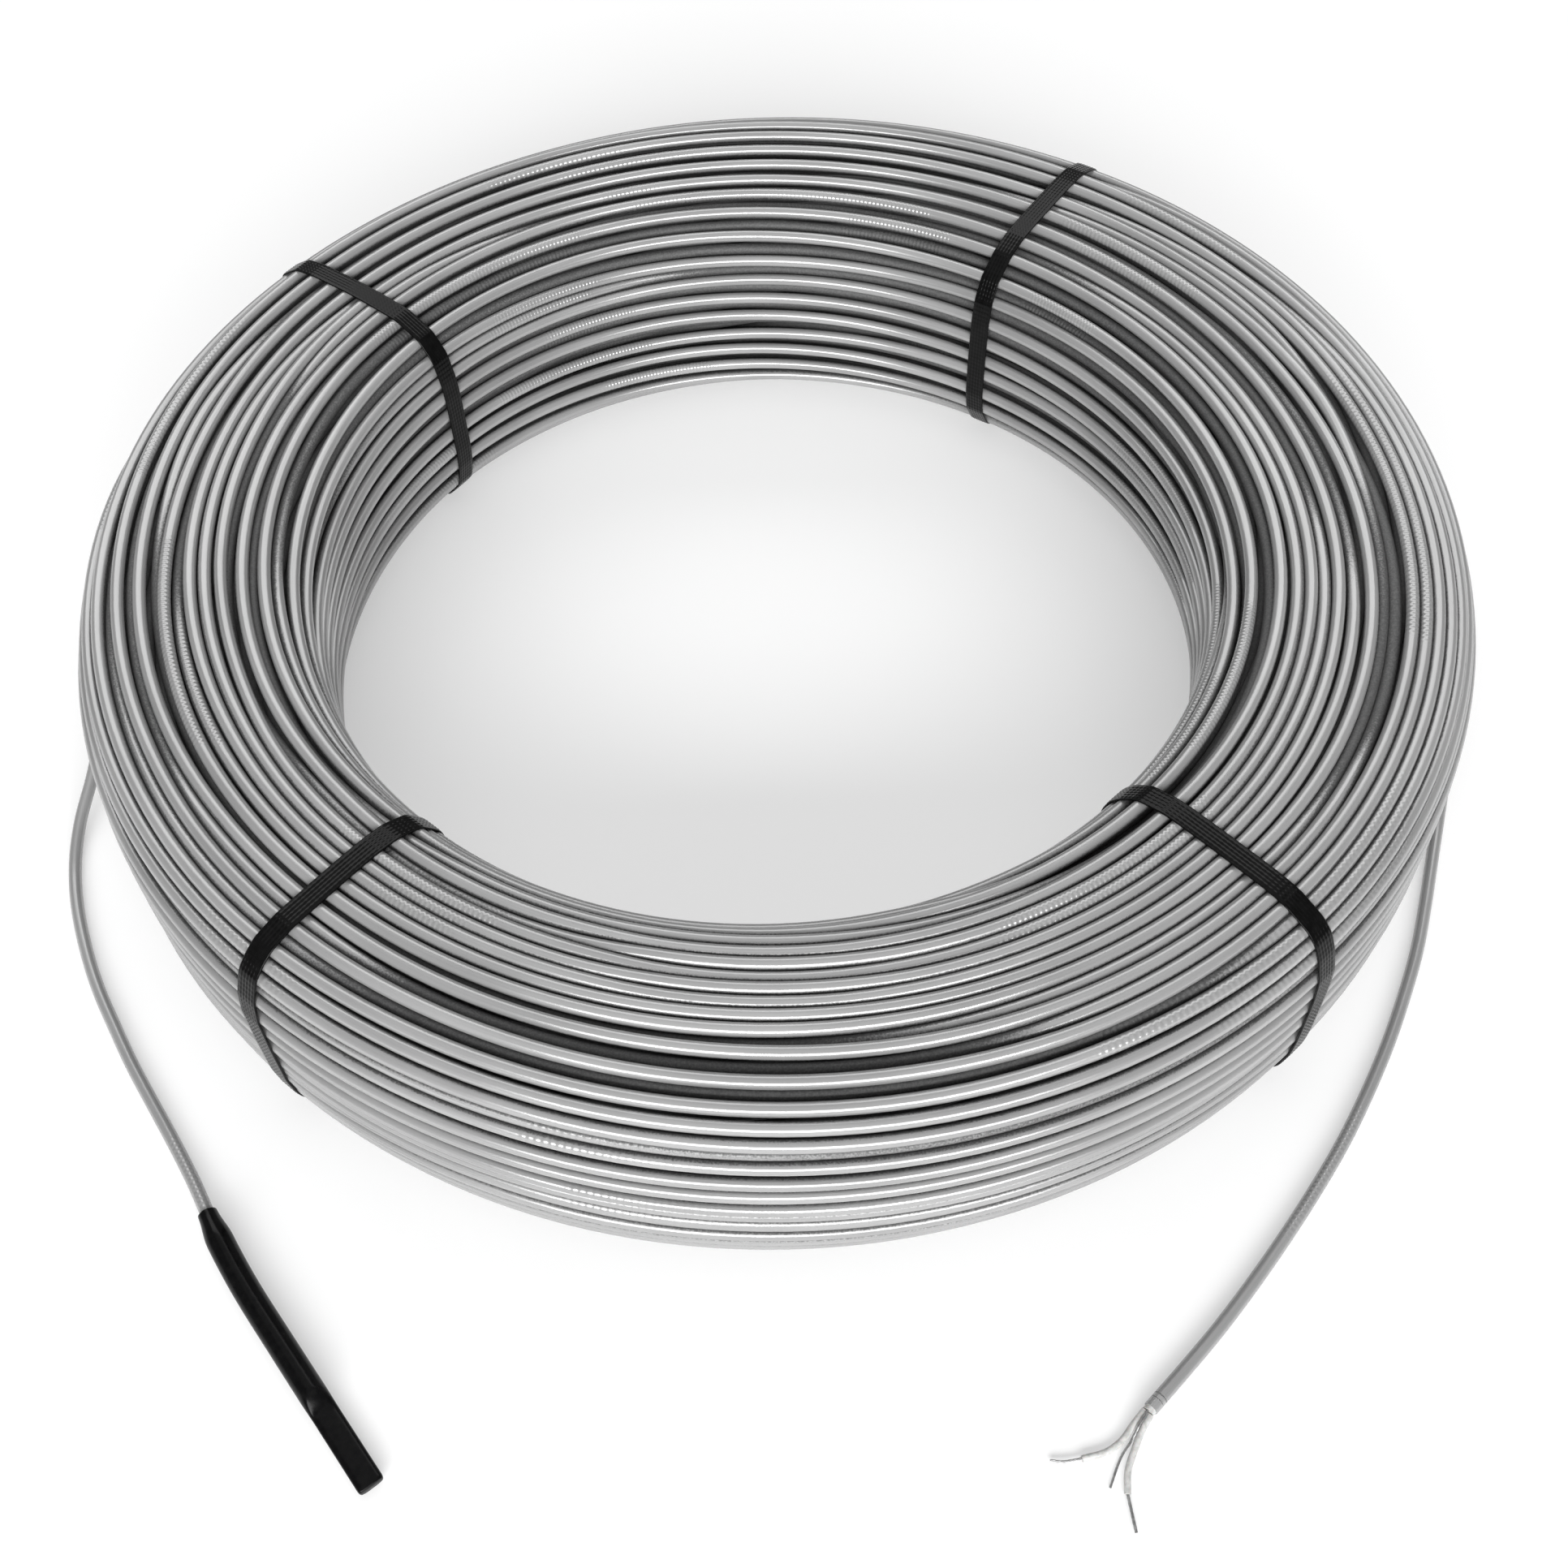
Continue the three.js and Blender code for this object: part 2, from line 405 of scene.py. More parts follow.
def smooth_path(points: Array, step: float) -> Array:
    """Runs a centripetal curve through given points.

    Args:
        points: The points, one row each.
        step: The distance between the points of the result, in metres.

    Returns:
        Evenly spaced points on the curve.
    """
    def between(p: Array, q: Array, start: float, finish: float, t: float) -> Array:
        """The point on the way from p at a start to q at a finish."""
        return (finish - t) / (finish - start) * p + (t - start) / (finish - start) * q

    padded = np.vstack([2 * points[0] - points[1], points, 2 * points[-1] - points[-2]])
    dense = [points[0]]
    for p0, p1, p2, p3 in zip(padded[:-3], padded[1:-2], padded[2:-1], padded[3:]):
        t1 = math.sqrt(np.linalg.norm(p1 - p0))
        t2 = t1 + math.sqrt(np.linalg.norm(p2 - p1))
        t3 = t2 + math.sqrt(np.linalg.norm(p3 - p2))
        for t in np.linspace(t1, t2, CURVE_STEPS)[1:]:
            a1 = between(p0, p1, 0, t1, t)
            a2 = between(p1, p2, t1, t2, t)
            a3 = between(p2, p3, t2, t3, t)
            b1 = between(a1, a2, 0, t2, t)
            b2 = between(a2, a3, t1, t3, t)
            dense.append(between(b1, b2, t1, t2, t))
    line = np.array(dense)
    return resample(line, max(2, round(path_length(line) / step)) + 1)


def closed(line: Array) -> Array:
    """A line of points with its first point again at its end."""
    return np.vstack([line, line[:1]])


def path_length(line: Array) -> float:
    """Length of a line of points."""
    return float(np.linalg.norm(np.diff(line, axis=0), axis=1).sum())


def resample(line: Array, count: int) -> Array:
    """Spaces points evenly along a line.

    Args:
        line: The points, one row each.
        count: How many points the result has.

    Returns:
        The new points, both ends included.
    """
    walked = np.r_[0.0, np.cumsum(np.linalg.norm(np.diff(line, axis=0), axis=1))]
    wanted = np.linspace(0.0, walked[-1], count)
    return np.stack([np.interp(wanted, walked, line[:, axis]) for axis in range(line.shape[1])], axis=1)


def eased(value: Array | float, start: float, finish: float) -> Array | float:
    """A smooth step from 0 to 1 as a value goes from a start to a finish."""
    share = np.clip((value - start) / (finish - start), 0.0, 1.0)
    return share * share * (3 - 2 * share)


def add_object(name: str, mesh: Mesh) -> Piece:
    """Puts a mesh in the scene as an object at the origin.

    Args:
        name: The object's name.
        mesh: Its mesh.

    Returns:
        The object.
    """
    made = bpy.data.objects.new(name, mesh)
    bpy.context.scene.collection.objects.link(made)
    return made


def mesh_from(name: str, shape: bmesh.types.BMesh) -> Mesh:
    """Turns a bmesh into a smooth-shaded mesh and frees it.

    Args:
        name: The mesh's name.
        shape: The bmesh.

    Returns:
        The mesh.
    """
    mesh = bpy.data.meshes.new(name)
    shape.to_mesh(mesh)
    shape.free()
    mesh.shade_smooth()
    return mesh


def dress(piece: Piece, material: Material) -> None:
    """Gives a piece its finish and its body.

    Args:
        piece: The piece.
        material: Its material.
    """
    piece.data.materials.clear()
    piece.data.materials.append(material)
    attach(piece, BODY)
    LOG.info("%s: %d faces", piece.name, len(piece.data.polygons))


def carry(mesh: Mesh, name: str, values: Array) -> None:
    """Gives each vertex of a mesh a number that its finish reads."""
    mesh.attributes.new(name, "FLOAT", "POINT").data.foreach_set("value", values.astype(np.float32))


def rods(name: str, runs: list[Array], diameter: float, sides: int) -> Piece:
    """Lays round rods along lines, as one mesh that knows the distance along each rod.

    Args:
        name: The piece's name.
        runs: One line of points for each rod.
        diameter: The rods' diameter.
        sides: Sides of a rod's section, an even number from 4.

    Returns:
        The mesh object.
    """
    curve = bpy.data.curves.new(name + "_line", "CURVE")
    curve.dimensions = "3D"
    curve.bevel_depth = diameter / 2
    curve.bevel_resolution = (sides - 4) // 2
    curve.use_fill_caps = True
    for run in runs:
        spline = curve.splines.new("POLY")
        spline.points.add(len(run) - 1)
        spline.points.foreach_set("co", np.c_[run, np.ones(len(run))].ravel())
    helper = bpy.data.objects.new(name + "_line", curve)
    bpy.context.scene.collection.objects.link(helper)
    graph = bpy.context.evaluated_depsgraph_get()
    mesh = bpy.data.meshes.new_from_object(helper.evaluated_get(graph))
    bpy.data.objects.remove(helper)
    bpy.data.curves.remove(curve)
    mesh.name = name
    mesh.shade_smooth()
    along = np.concatenate([np.repeat(np.linspace(0, path_length(run), len(run)), sides) for run in runs])
    carry(mesh, "along", np.resize(along, len(mesh.vertices)))
    carry(mesh, "openness", np.ones(len(mesh.vertices)))
    return add_object(name, mesh)


# The winding


# The widest dark gaps: an outer turn that sinks, the angle of the gap's middle in degrees, how far it
# reaches each way, and how deep the turn sinks as a share of the full depth.
DARK_BANDS = (
    (13, 226, 50, 1.0), (11, 262, 26, 1.0), (11, 188, 24, 0.7), (9, 268, 34, 0.9),
    (12, 352, 26, 1.0), (13, 346, 24, 0.9), (17, 10, 24, 0.8), (19, 184, 28, 0.9),
)


@dataclass(frozen=True)
class Settling:
    """How the turns move apart: reaches in cable diameters, and shares of a whole move in one round."""

    rounds: int = 80
    reach: float = 1.01
    roomy_reach: float = 1.3
    parting: float = 1.2
    spreading: float = 0.04
    outer_lift: float = 0.3
    outer_return: float = 0.06
    buried_drop: float = 0.7
    buried_return: float = 0.03
    evening: float = 0.5


@dataclass(frozen=True)
class Looseness:
    """Where every second turn sinks: stretches of the way round the section, and how strongly it does."""

    inner_side: tuple[float, float] = (0.26, 0.36)
    outer_wall: tuple[float, float] = (0.06, 0.15)
    at_back: float = 0.95
    at_inner_front: float = 0.35
    at_outer_wall: float = 0.9
    contrast: float = 1.7
    proud_turns: float = -0.25
    threshold: float = -0.5
    unevenness: float = 0.5
    easing: tuple[float, float] = (-0.1, 0.6)


@dataclass
class Winding:
    """The coil's turns: an outer layer and a buried one, settled so that no two turns share their space.

    A turn's place is a point of the winding's section at each of several stations round the axis.
    The outer layer is two cables laid side by side, so that one turn's end is the start of the next but
    one. The buried layer is one cable, and its turns follow one another.
    """

    cable_diameter: float = 0.005
    outer_turns: int = 66
    outer_starts: int = 2
    buried_turns: int = 52
    stations: int = 192
    squareness: float = 4.2
    thicker_right: float = 0.0023
    thicker_back: float = 0.0036
    buried_depth: float = 0.0058
    core_depth: float = 0.0105
    core_corners: int = 64
    core_steps: int = 96
    sideways_drift: float = 0.0011
    depth_drift: float = 0.0004
    lay_swing: float = 0.75
    lay_swing_at: float = 50.0
    buried_swing: float = -1.6
    sinking_depth: float = 0.0046
    closing: float = 0.16
    settling: Settling = Settling()
    looseness: Looseness = Looseness()
    sides: int = 14
    buried_sides: int = 8
    # Openness, by which the jacket's finish paints shade, falls to 0 within closed_gap of another turn or
    # deeper than dark_depth under the outline, and is 1 past open_gap and above lit_depth.
    closed_gap: float = 0.0004
    open_gap: float = 0.002
    lit_depth: float = 0.0018
    dark_depth: float = 0.0042
    seed: int = 11

    def __post_init__(self) -> None:
        """Reads the winding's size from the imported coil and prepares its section."""
        low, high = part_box("cable_coil")
        places = np.array([vertex.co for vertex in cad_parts["cable_coil"].data.vertices])
        bore = float(np.hypot(places[:, 0], places[:, 1]).min())
        self.mean_radius = (high.x + bore) / 2
        self.half_width = (high.x - bore) / 2
        self.half_height = (high.z - low.z) / 2
        self.middle = (high.z + low.z) / 2
        self.angles = np.linspace(0, 2 * math.pi, self.stations, endpoint=False)
        self.random = np.random.default_rng(self.seed)
        self.outer = self._layer(self.outer_turns, 0.0, self.outer_starts, self.lay_swing)
        self.buried = self._layer(self.buried_turns, self.buried_depth, 1, self.buried_swing)

    def width_at(self, angle: Array | float) -> Array | float:
        """Half width of the section at an angle: the winding is thicker at the back right."""
        return self.half_width + self.thicker_right * np.cos(angle) + self.thicker_back * np.sin(angle)

    def _outline(self, share: Array) -> tuple[Array, Array]:
        """Places on the section's outline, as shares of its half width and half height.

        Args:
            share: Distances round the outline, as shares of the whole.

        Returns:
            The outward and the upward shares.
        """
        turn = np.linspace(0, 2 * math.pi, 2001)
        outward, upward = (
            np.sign(wave) * np.abs(wave) ** (2 / self.squareness) for wave in (np.cos(turn), np.sin(turn))
        )
        steps = np.hypot(np.diff(outward * self.half_width), np.diff(upward * self.half_height))
        walked = np.r_[0.0, np.cumsum(steps)]
        wanted = np.mod(share, 1.0) * walked[-1]
        return np.interp(wanted, walked, outward), np.interp(wanted, walked, upward)

    def _wander(self, turns: int, size: float, starts: int) -> Array:
        """A slow wander for each turn that runs on smoothly from turn to turn.

        Args:
            turns: How many turns the layer has.
            size: The usual size of the wander.
            starts: How many cables lie side by side in it.

        Returns:
            One value for each station and turn.
        """
        total = np.zeros((self.stations, turns))
        place = np.arange(turns)[None, :] + starts * self.angles[:, None] / (2 * math.pi)
        for waves, weight in ((0, 0.6), (1, 0.5), (2, 0.4), (3, 0.2)):
            for wave in (np.cos, np.sin):
                knots = self.random.normal(0, 1, turns)
                before = np.floor(place).astype(int)
                blend = place - before
                blend = blend * blend * (3 - 2 * blend)
                value = knots[before % turns] * (1 - blend) + knots[(before + 1) % turns] * blend
                total += weight * size * value * wave(waves * self.angles)[:, None]
        return total

    def _layer(self, turns: int, depth: float, starts: int, swing: float) -> Array:
        """Where the turns of one layer would like to lie.

        Args:
            turns: How many turns the layer has.
            depth: How deep the layer lies under the winding's surface.
            starts: How many cables lie side by side in it.
            swing: How many turns the lay swings sideways, twice in each round.

        Returns:
            An array of station, turn and place in the section (distance from the axis, height).
        """
        inset = self.cable_diameter / 2 + depth
        perimeter = 8 * 0.9 * (self.half_width - inset + self.half_height - inset) / 2
        swung = swing * np.cos(2 * (self.angles - math.radians(self.lay_swing_at)))
        place = np.arange(turns)[None, :] + (starts * self.angles / (2 * math.pi) + swung)[:, None]
        sinking = self._sinking(place) if starts > 1 else np.zeros_like(place)
        beside = np.roll(sinking, -1, axis=1) - np.roll(sinking, 1, axis=1)
        share = (place + self.closing * beside) / turns
        share = share + self._wander(turns, self.sideways_drift, starts) / perimeter
        outward, upward = self._outline(share)
        sunk = np.abs(self._wander(turns, self.depth_drift, starts)) + inset + self.sinking_depth * sinking
        wide = self.width_at(self.angles)[:, None] - sunk
        high = self.half_height - sunk
        return np.stack([self.mean_radius + wide * outward, self.middle + high * upward], axis=-1)

    def _sinking(self, place: Array) -> Array:
        """How far each outer turn sinks between its neighbours, where it leaves a dark gap.

        Every second turn sinks at the back, on the inner side and on the outer wall.

        Args:
            place: Each turn's place round the section, counted in turns.

        Returns:
            A share of the sinking depth for each station and turn.
        """
        how = self.looseness
        share = np.mod(place / self.outer_turns, 1.0)
        back = (1 + np.sin(self.angles))[:, None] / 2
        inner = how.at_inner_front + (1 - how.at_inner_front) * eased(back, 0.1, 0.5)
        loose = np.maximum(how.at_back * back ** 2, eased(share, *how.inner_side) * inner)
        loose = np.maximum(loose, how.at_outer_wall * (1 - eased(share, *how.outer_wall)))
        index = np.arange(self.outer_turns)[None, :]
        every_second = np.where(index % 2 == 1, 1.0, how.proud_turns)
        uneven = self._wander(self.outer_turns, how.unevenness, self.outer_starts)
        wish = every_second * (how.contrast * loose - 0.15) + how.threshold + uneven
        sinking = eased(wish, *how.easing)
        walked = np.degrees(self.angles)[:, None] + 360 * (index // 2)
        for turn, degrees, reach, depth in DARK_BANDS:
            away = np.abs(walked - (degrees + 360 * (turn // 2))) / reach
            here = np.where(index % 2 == turn % 2, eased(1.3 - away, 0.0, 0.6), 0.0)
            sinking = np.maximum(sinking, depth * here)
        return sinking

    @staticmethod
    def _pushes(first: Array, second: Array, reach: float) -> tuple[Array, Array]:
        """How far two layers' turns, or one layer's own, push each other apart.

        Args:
            first: One layer's places.
            second: The other layer's places, or the same layer's.
            reach: The least distance between two turns.

        Returns:
            The moves of the first and the second layer.
        """
        apart = first[:, :, None, :] - second[:, None, :, :]
        distance = np.sqrt((apart ** 2).sum(-1)) + 1e-9
        if first is second:
            distance += np.eye(first.shape[1])[None]
        push = (np.clip(reach - distance, 0, None) / distance)[..., None] * apart / 2
        return push.sum(2), -push.sum(1)

    @staticmethod
    def _evened(layer: Array, starts: int) -> Array:
        """The middle between each place's two neighbours on its cable.

        Args:
            layer: The layer's places.
            starts: How many cables lie side by side in it.

        Returns:
            The middles, in the layer's own order.
        """
        middles = np.empty_like(layer)
        for start in range(starts):
            own = layer[:, start::starts]
            stations, turns, _ = own.shape
            cable = own.transpose(1, 0, 2).reshape(-1, 2)
            middle = (np.roll(cable, 1, axis=0) + np.roll(cable, -1, axis=0)) / 2
            middles[:, start::starts] = middle.reshape(turns, stations, 2).transpose(1, 0, 2)
        return middles

    def settle(self) -> None:
        """Moves the turns apart until none cuts another, and keeps each cable line smooth."""
        how = self.settling
        wished_outer = self.outer.copy()
        wished_buried = self.buried.copy()
        reach = self.cable_diameter * how.reach
        for _ in range(how.rounds):
            outer_push = self._pushes(self.outer, self.outer, reach)[0]
            spread = self._pushes(self.outer, self.outer, self.cable_diameter * how.roomy_reach)[0]
            buried_push = self._pushes(self.buried, self.buried, reach)[0]
            up, down = self._pushes(self.outer, self.buried, reach)
            self.outer += how.parting * outer_push + how.spreading * spread
            self.outer += how.outer_lift * up + how.outer_return * (wished_outer - self.outer)
            back = how.buried_return * (wished_buried - self.buried)
            self.buried += how.parting * buried_push + how.buried_drop * down + back
            self.outer += how.evening * (self._evened(self.outer, self.outer_starts) - self.outer)
            self.buried += how.evening * (self._evened(self.buried, 1) - self.buried)
            self._contain(self.outer)

    def _reached(self, outward: Array, upward: Array) -> Array:
        """How near the section's outline a place lies: 0 in its middle, 1 on it."""
        powers = np.abs(outward) ** self.squareness + np.abs(upward) ** self.squareness
        return powers ** (1 / self.squareness)

    def _contain(self, layer: Array) -> None:
        """Draws turns that stand proud of the winding's outline back to it.

        Args:
            layer: The layer's places, which are changed.
        """
        inset = self.cable_diameter / 2
        wide = (self.width_at(self.angles) - inset)[:, None]
        high = self.half_height - inset
        outward = (layer[..., 0] - self.mean_radius) / wide
        upward = (layer[..., 1] - self.middle) / high
        back = 1 / np.maximum(self._reached(outward, upward), 1.0)
        layer[..., 0] = self.mean_radius + outward * back * wide
        layer[..., 1] = self.middle + upward * back * high

    def cable_run(self, cable: Array) -> Array:
        """One cable's whole line, which ends where it began.

        Args:
            cable: The places of its turns.

        Returns:
            Its points in space.
        """
        radius = cable[..., 0].T
        places = [radius * np.cos(self.angles)[None], radius * np.sin(self.angles)[None], cable[..., 1].T]
        return closed(np.stack(places, axis=-1).reshape(-1, 3))

    def section_at(self, degrees: float) -> Array:
        """The outer turns' places in the section at an angle.

        Args:
            degrees: The angle about the coil's axis.

        Returns:
            One place for each turn.
        """
        station = math.radians(degrees % 360) / (2 * math.pi) * self.stations
        before = int(station) % self.stations
        after = (before + 1) % self.stations
        blend = station - int(station)
        second = self.outer[after] if after else np.roll(self.outer[after], -self.outer_starts, axis=0)
        return self.outer[before] * (1 - blend) + second * blend

    def _openness(self, mesh: Mesh, sides: int) -> Array:
        """How open each vertex of a layer's rods lies: 0 in a groove between two turns or deep under the
        outline, 1 on a free crest. The jacket's finish paints shade where it is low.

        Args:
            mesh: The rods' mesh, ring after ring from the first station.
            sides: Vertices of a ring.

        Returns:
            A number for each vertex.
        """
        places = np.zeros(len(mesh.vertices) * 3)
        mesh.vertices.foreach_get("co", places)
        places = places.reshape(-1, 3)
        section = np.stack([np.hypot(places[:, 0], places[:, 1]), places[:, 2]], axis=-1)
        station = (np.arange(len(section)) // sides) % self.stations
        gap = np.zeros(len(section))
        for index in range(self.stations):
            here = np.flatnonzero(station == index)
            centres = np.concatenate([self.outer[index], self.buried[index]])
            apart = np.linalg.norm(section[here][:, None] - centres[None], axis=-1)
            gap[here] = np.partition(apart, 1, axis=1)[:, 1] - self.cable_diameter / 2
        outward = section[:, 0] - self.mean_radius
        upward = section[:, 1] - self.middle
        wide = self.width_at(self.angles)[station]
        reached = self._reached(outward / wide, upward / self.half_height)
        depth = (1 / np.maximum(reached, 0.1) - 1) * np.hypot(outward, upward)
        freed = np.clip((gap - self.closed_gap) / (self.open_gap - self.closed_gap), 0, 1)
        lit = np.clip((self.dark_depth - depth) / (self.dark_depth - self.lit_depth), 0, 1)
        return freed * lit

    def _turns(self, name: str, cable: Array, sides: int, finish: Material) -> Piece:
        """Makes the turns of one cable.

        Args:
            name: The piece's name.
            cable: The places of its turns.
            sides: Sides of its section.
            finish: The material.

        Returns:
            The piece.
        """
        piece = rods(name, [self.cable_run(cable)], self.cable_diameter, sides)
        openness = self._openness(piece.data, sides).astype(np.float32)
        piece.data.attributes["openness"].data.foreach_set("value", openness)
        dress(piece, finish)
        return piece

    def build(self, jacket: Material, shaded: Material) -> list[Piece]:
        """Makes the turns and the dark middle that they hide.

        Args:
            jacket: The outer turns' finish.
            shaded: The darker copy of the jacket, painted shade for what lies between and under them.

        Returns:
            The pieces.
        """
        self.settle()
        pieces = [
            self._turns("outer_turns_a", self.outer[:, 0::2], self.sides, jacket),
            self._turns("outer_turns_b", self.outer[:, 1::2], self.sides, jacket),
            self._turns("buried_turns", self.buried, self.buried_sides, shaded),
            self._core(shaded),
        ]
        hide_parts("cable_coil")
        return pieces

    def _core(self, shaded: Material) -> Piece:
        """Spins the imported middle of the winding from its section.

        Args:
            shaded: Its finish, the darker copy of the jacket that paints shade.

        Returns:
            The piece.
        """
        shape = bmesh.new()
        outward, upward = self._outline(np.arange(self.core_corners) / self.core_corners)
        wide = self.half_width - self.thicker_back - self.core_depth
        high = self.half_height - self.core_depth
        verts = [
            shape.verts.new((self.mean_radius + wide * right, 0, self.middle + high * up))
            for right, up in zip(outward, upward)
        ]
        edges = [shape.edges.new(pair) for pair in zip(verts, verts[1:] + verts[:1])]
        bmesh.ops.spin(shape, geom=verts + edges, cent=(0, 0, 0), axis=(0, 0, 1), angle=2 * math.pi,
                       steps=self.core_steps, use_merge=True, use_duplicate=False)
        bmesh.ops.remove_doubles(shape, verts=shape.verts, dist=WELD)
        bmesh.ops.recalc_face_normals(shape, faces=shape.faces)
        piece = add_object("winding_core", mesh_from("winding_core", shape))
        dress(piece, shaded)
        return piece


# The straps


# Where a strap is fitted to the turns under it, in degrees from its middle.
STRAP_REACH = (-1.3, -0.65, 0.0, 0.65, 1.3)


def convex_outline(points: Array) -> Array:
    """The outline that a tight band takes round points of a plane.

    Args:
        points: The points, one row each.

    Returns:
        The outline's corners, counterclockwise.
    """
    ordered = sorted(map(tuple, points))

    def half(sequence: list[tuple[float, float]]) -> list[tuple[float, float]]:
        """One side of the outline.

        Args:
            sequence: The points in order.

        Returns:
            Its corners, without the last.
        """
        kept: list[tuple[float, float]] = []
        for point in sequence:
            while len(kept) > 1:
                (ax, ay), (bx, by) = kept[-2], kept[-1]
                if (bx - ax) * (point[1] - ay) - (by - ay) * (point[0] - ax) > 0:
                    break
                kept.pop()
            kept.append(point)
        return kept[:-1]

    return np.array(half(ordered) + half(ordered[::-1]))


@dataclass
class Strap:
    """One flat band round the winding, embossed with rows of small diamonds."""

    place: str
    degrees: float
    width: float = 0.0086
    thickness: float = 0.0007
    clearance: float = 0.00005
    rows: int = 6
    diamond_length: float = 0.0021
    relief: float = 0.00022
    columns_per_row: int = 4
    steps_per_diamond: int = 4
    round_points: int = 24
    line_points: int = 600
    smoothing_rounds: int = 6

    def build(self, winding: Winding, finish: Material) -> Piece:
        """Makes the band round the turns that it holds.

        Args:
            winding: The coil that it is drawn round.
            finish: The strap's material.

        Returns:
            The piece.
        """
        line = self._line(winding)
        length = path_length(closed(line))
        diamonds = round(length / self.diamond_length)
        steps = diamonds * self.steps_per_diamond
        loop = resample(closed(line), steps + 1)
        columns = self.rows * self.columns_per_row
        shape = bmesh.new()
        bmesh.ops.create_grid(shape, x_segments=columns, y_segments=steps, size=0.5)
        ahead = np.roll(loop[:-1], -1, axis=0) - np.roll(loop[:-1], 1, axis=0)
        ahead = np.vstack([ahead, ahead[:1]])
        ahead /= np.linalg.norm(ahead, axis=1)[:, None]
        turned = Matrix.Rotation(math.radians(self.degrees), 3, "Z")
        for vertex in shape.verts:
            across = vertex.co.x
            step = round((vertex.co.y + 0.5) * steps)
            raised = self._relief(across, step / self.steps_per_diamond)
            radius, height = loop[step]
            forward = ahead[step]
            outward = (forward[1], -forward[0])
            place = (radius + outward[0] * raised, -across * self.width, height + outward[1] * raised)
            vertex.co = turned @ Vector(place)
        bmesh.ops.remove_doubles(shape, verts=shape.verts, dist=WELD)
        bmesh.ops.recalc_face_normals(shape, faces=shape.faces)
        bmesh.ops.solidify(shape, geom=shape.faces[:], thickness=self.thickness)
        bmesh.ops.recalc_face_normals(shape, faces=shape.faces)
        piece = add_object("band_" + self.place, mesh_from("band_" + self.place, shape))
        dress(piece, finish)
        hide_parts("strap_" + self.place)
        return piece

    def _line(self, winding: Winding) -> Array:
        """The line of the band's outer face in the section, drawn straight from crest to crest.

        Args:
            winding: The coil that it is drawn round.

        Returns:
            Evenly spaced points, from which the closed line goes back to the first.
        """
        reach = winding.cable_diameter / 2 + self.clearance + self.thickness
        round_angles = np.linspace(0, 2 * math.pi, self.round_points, endpoint=False)
        circle = reach * np.stack([np.cos(round_angles), np.sin(round_angles)], axis=-1)
        centres = np.concatenate([winding.section_at(self.degrees + shift) for shift in STRAP_REACH])
        outline = convex_outline((centres[:, None, :] + circle[None]).reshape(-1, 2))
        even = resample(closed(outline), self.line_points + 1)[:-1]
        for _ in range(self.smoothing_rounds):
            even = (np.roll(even, 1, axis=0) + even + np.roll(even, -1, axis=0)) / 3
        return even

    def _relief(self, across: float, diamond: float) -> float:
        """Height of the embossing at a place on the band.

        Args:
            across: The share of the width, from -0.5 to 0.5.
            diamond: The distance along the band, counted in diamonds.

        Returns:
            How far the surface stands out.
        """
        row = (across + 0.5) * self.rows
        ridge = abs(2 * (row - math.floor(row)) - 1)
        swell = abs(2 * (diamond - math.floor(diamond)) - 1)
        edge = min(1.0, (0.5 - abs(across)) * self.rows * 2)
        return self.relief * (max(0.0, ridge + 0.5 * swell - 0.5)) * edge


# The free ends


@dataclass
class Lead:
    """A free end of the cable, from the winding's outer wall to where it ends."""

    name: str
    node: str
    route: Route
    diameter: float = 0.005
    floor_clearance: float = 0.0002
    sides: int = 20
    step: float = 0.003

    def line(self, winding: Winding) -> Array:
        """The cable's middle line up to where its sleeve or its cut starts.

        Args:
            winding: The coil that it leaves.

        Returns:
            Evenly spaced points, from the coil outwards.
        """
        outer_wall = winding.mean_radius + winding.half_width
        points = []
        for degrees, from_wall, height in self.route:
            radius = outer_wall + from_wall * MILLIMETRE
            angle = math.radians(degrees)
            level = self.diameter / 2 + self.floor_clearance + height * MILLIMETRE
            points.append((radius * math.cos(angle), radius * math.sin(angle), level))
        return smooth_path(np.array(points), self.step)

    def build(self, line: Array, far_end: str, with_pieces: list[Piece], finish: Material) -> Piece:
        """Args:
            line: The cable's middle line, with what runs on inside a sleeve.
            far_end: What its far end is. Not used.
            with_pieces: The pieces on it. Not used.
            finish: The jacket's material.

        Returns:
            The piece.
        """
        piece = rods(self.name, [line], self.diameter, self.sides)
        dress(piece, finish)
        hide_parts(self.node)
        return piece


@dataclass(frozen=True)
class EndFrame:
    """The level frame at a lead's far end: where it ends, onwards and to its left."""

    point: Vector
    onwards: Vector
    left: Vector

    @classmethod
    def of(cls, line: Array) -> EndFrame:
        """Reads the frame from a lead's line.

        Args:
            line: The lead's points, from the coil outwards.

        Returns:
            The frame.
        """
        onwards = Vector(line[-1] - line[-3])
        onwards.z = 0
        onwards.normalize()
        return cls(Vector(line[-1]), onwards, Vector((-onwards.y, onwards.x, 0)))

    def beyond(self, along: float, left: float, height: float) -> Vector:
        """A point past the end, in metres.

        Args:
            along: How far onwards.
            left: How far to the left.
            height: The height above the floor.

        Returns:
            The point.
        """
        place = self.point + self.onwards * along + self.left * left
        place.z = height
        return place


